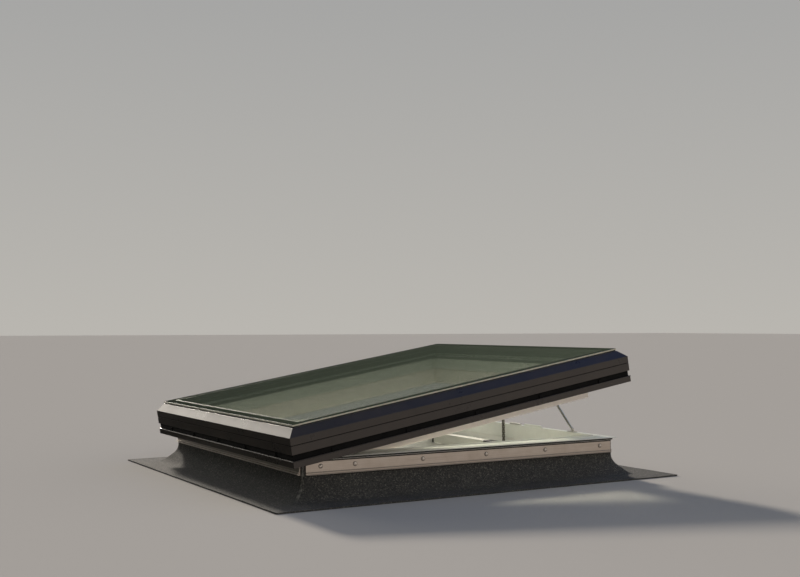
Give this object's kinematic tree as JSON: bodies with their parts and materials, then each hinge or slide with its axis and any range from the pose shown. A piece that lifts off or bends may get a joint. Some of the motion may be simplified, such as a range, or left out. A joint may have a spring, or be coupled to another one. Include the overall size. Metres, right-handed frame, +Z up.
{
  "type": "roof skylight",
  "caption": "Flat-roof skylight: felted kerb, white fixed frame and a glazed sash, hinged on one side and pushed open by a chain drive.",
  "frame": {"origin": "centre of the kerb on the roof surface", "axes": "+X from the hinge side to the lead side that opens, +Z up"},
  "size_m": [1.568, 1.448, 0.4566],
  "materials": {
    "kerb_plastic": "satin extruded plastic",
    "roofing_felt": "mineral surfaced bitumen felt",
    "mill_aluminium": "mill finish",
    "white_plastic": "satin extruded plastic",
    "anthracite_aluminium": "anthracite powder coating",
    "cant_board": "pressed fibre",
    "stainless_steel": "bright",
    "black_rubber": "smooth",
    "black_plastic": "moulded",
    "clear_glass": "float glass",
    "zinc_steel": "zinc plated",
    "white_painted_aluminium": "white powder coating",
    "dark_steel": "blackened",
    "grey_plastic": "moulded"
  },
  "bodies": {
    "kerb": {"cant_strips": "cant_board", "closing_block": "white_plastic", "drive_brackets": "white_painted_aluminium", "drive_end_cap": "black_plastic", "drive_head": "black_plastic", "drive_housing": "white_painted_aluminium", "edging_screws": "stainless_steel", "edging_strip_far": "mill_aluminium", "edging_strip_hinge": "mill_aluminium", "edging_strip_lead": "mill_aluminium", "edging_strip_near": "mill_aluminium", "felt_far": "roofing_felt", "felt_hinge": "roofing_felt", "felt_lead": "roofing_felt", "felt_near": "roofing_felt", "fixed_frame_far": "white_plastic", "fixed_frame_hinge": "white_plastic", "fixed_frame_lead": "white_plastic", "fixed_frame_near": "white_plastic", "frame_hinge_leaves": "zinc_steel", "hinge_pins": "stainless_steel", "kerb_seal": "black_rubber", "kerb_wall_far": "kerb_plastic", "kerb_wall_hinge": "kerb_plastic", "kerb_wall_lead": "kerb_plastic", "kerb_wall_near": "kerb_plastic", "lock_keep": "zinc_steel", "push_chain": "dark_steel", "stay_feet": "zinc_steel"},
    "sash": {"chain_tie": "dark_steel", "closing_seal": "black_rubber", "glass_gasket": "black_rubber", "glass_spacers": "black_plastic", "inner_rim_far": "white_plastic", "inner_rim_hinge": "white_plastic", "inner_rim_lead": "white_plastic", "inner_rim_near": "white_plastic", "lower_pane": "clear_glass", "middle_pane": "clear_glass", "pane_seal": "black_rubber", "recess_clips": "black_plastic", "recess_strips": "black_plastic", "sash_cap_far": "anthracite_aluminium", "sash_cap_hinge": "anthracite_aluminium", "sash_cap_lead": "anthracite_aluminium", "sash_cap_near": "anthracite_aluminium", "sash_core_far": "white_plastic", "sash_core_hinge": "white_plastic", "sash_core_lead": "white_plastic", "sash_core_near": "white_plastic", "sash_hinge_leaves": "zinc_steel", "sash_lower_band_far": "anthracite_aluminium", "sash_lower_band_hinge": "anthracite_aluminium", "sash_lower_band_lead": "anthracite_aluminium", "sash_lower_band_near": "anthracite_aluminium", "upper_pane": "clear_glass"},
    "stay_near": {"stay_arm_near": "dark_steel", "stay_roller_near": "grey_plastic"},
    "stay_far": {"stay_arm_far": "dark_steel", "stay_roller_far": "grey_plastic"}
  },
  "joints": [
    {"name": "sash_hinge", "type": "hinge", "parent": "kerb", "child": "sash", "pos_m": [-0.6, 0, 0.14175], "axis": [0, -1, 0], "range_deg": [-9.61, 0], "deforming": ["push_chain"]},
    {"name": "stay_near_pivot", "type": "hinge", "parent": "kerb", "child": "stay_near", "pos_m": [0.6075, -0.36, 0.1465], "axis": [0.9958, -0.002, 0.0917], "range_deg": [-46.85, 0]},
    {"name": "stay_far_pivot", "type": "hinge", "parent": "kerb", "child": "stay_far", "pos_m": [0.6075, 0.36, 0.1465], "axis": [-0.9958, -0.002, -0.0917], "range_deg": [-46.85, 0]}
  ],
  "couplings": [
    {"joint": "stay_near_pivot", "follows": "sash_hinge", "ratio": 4.8737},
    {"joint": "stay_far_pivot", "follows": "sash_hinge", "ratio": 4.8737}
  ]
}
